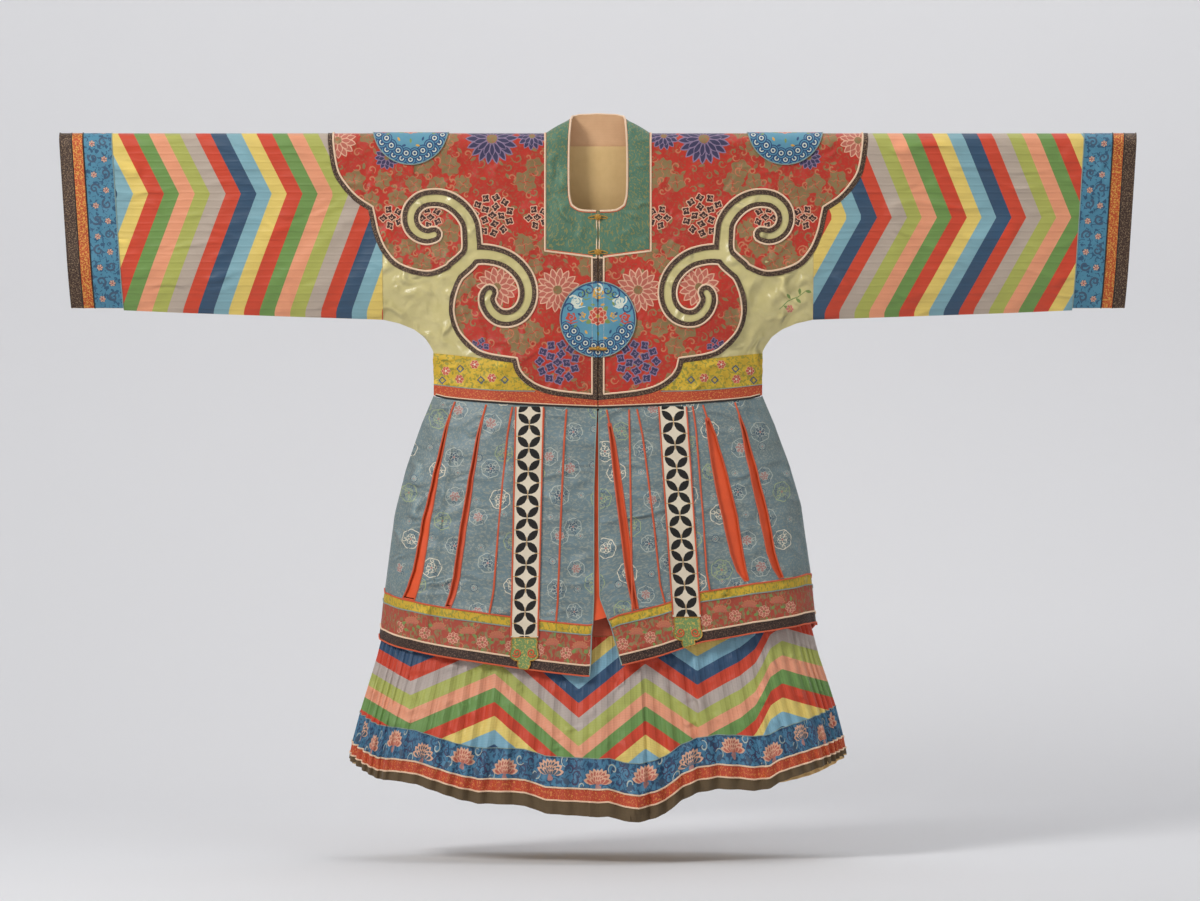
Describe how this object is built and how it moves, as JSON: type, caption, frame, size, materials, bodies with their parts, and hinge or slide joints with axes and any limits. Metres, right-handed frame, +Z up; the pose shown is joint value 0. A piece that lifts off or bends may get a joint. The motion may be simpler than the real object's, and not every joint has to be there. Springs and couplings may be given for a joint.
{
  "type": "theatrical robe",
  "caption": "East Asian stage robe with a cloud-shaped yoke, wide straight striped sleeves, a pleated peplum with ribbons and a finely pleated underskirt.",
  "frame": {"origin": "middle of the shoulder fold, where the robe is held", "axes": "+X along the sleeves, to the right seen from the front; -Y out of the front; +Z up"},
  "size_m": [2.096, 0.3084, 1.3595],
  "materials": {
    "red_brocade": "silk brocade, soft sheen",
    "brown_metal_braid": "metallic thread braid, speckled",
    "chartreuse_satin": "satin, glossy in the wrinkles",
    "yellow_brocade": "silk brocade",
    "red_silk": "plain silk",
    "striped_silk": "pieced silk stripes in nine colours",
    "blue_cuff_silk": "figured silk",
    "gold_brown_braid": "metallic thread braid in two bands",
    "green_brocade": "silk brocade with gold flecks",
    "tan_lining": "cotton lining, matt",
    "badge_embroidery": "embroidered silk",
    "blue_brocade": "silk brocade, pleated",
    "orange_silk": "plain silk",
    "floral_red": "silk brocade with flowers",
    "black_brown_braid": "metallic thread braid, dark",
    "white_ribbon": "silk ribbon with coin pattern",
    "green_pendant": "figured silk",
    "salmon_silk": "plain silk",
    "lotus_blue": "silk brocade with lotus flowers",
    "taupe_cotton": "cotton, matt",
    "gold_cord": "gold thread over a hard core"
  },
  "bodies": {
    "root": {"badge_back": "badge_embroidery", "badge_chest_left": "badge_embroidery", "badge_chest_right": "badge_embroidery", "badge_shoulder_left": "badge_embroidery", "badge_shoulder_right": "badge_embroidery", "border_dark_back": "black_brown_braid", "border_dark_front_left": "black_brown_braid", "border_dark_front_right": "black_brown_braid", "border_red_back": "floral_red", "border_red_front_left": "floral_red", "border_red_front_right": "floral_red", "border_yellow_back": "yellow_brocade", "border_yellow_front_left": "yellow_brocade", "border_yellow_front_right": "yellow_brocade", "button_collar": "gold_cord", "button_neck": "gold_cord", "chevron_back": "striped_silk", "chevron_front": "striped_silk", "collar": "green_brocade", "cuff_blue_left": "blue_cuff_silk", "cuff_blue_right": "blue_cuff_silk", "cuff_edge_left": "gold_brown_braid", "cuff_edge_right": "gold_brown_braid", "hem_back": "taupe_cotton", "hem_front": "taupe_cotton", "lining_back": "tan_lining", "lotus_band_back": "lotus_blue", "lotus_band_front": "lotus_blue", "pendant_left": "green_pendant", "pendant_right": "green_pendant", "peplum_back": "blue_brocade", "peplum_front_left": "blue_brocade", "peplum_front_right": "blue_brocade", "pleat_cloth_back": "orange_silk", "pleat_cloth_front": "orange_silk", "red_band_back": "red_silk", "red_band_front": "red_silk", "ribbon_left": "white_ribbon", "ribbon_right": "white_ribbon", "sleeve_left": "striped_silk", "sleeve_right": "striped_silk", "toggle_bar": "gold_cord", "underarm_back_left": "chartreuse_satin", "underarm_back_right": "chartreuse_satin", "underarm_front_left": "chartreuse_satin", "underarm_front_right": "chartreuse_satin", "underskirt_top": "salmon_silk", "waist_red_back": "red_silk", "waist_red_front_left": "red_silk", "waist_red_front_right": "red_silk", "waist_yellow_back_left": "yellow_brocade", "waist_yellow_back_right": "yellow_brocade", "waist_yellow_front_left": "yellow_brocade", "waist_yellow_front_right": "yellow_brocade", "yoke_back": "red_brocade", "yoke_band_back": "brown_metal_braid", "yoke_band_front_left": "brown_metal_braid", "yoke_band_front_right": "brown_metal_braid", "yoke_front_left": "red_brocade", "yoke_front_right": "red_brocade"}
  },
  "joints": []
}
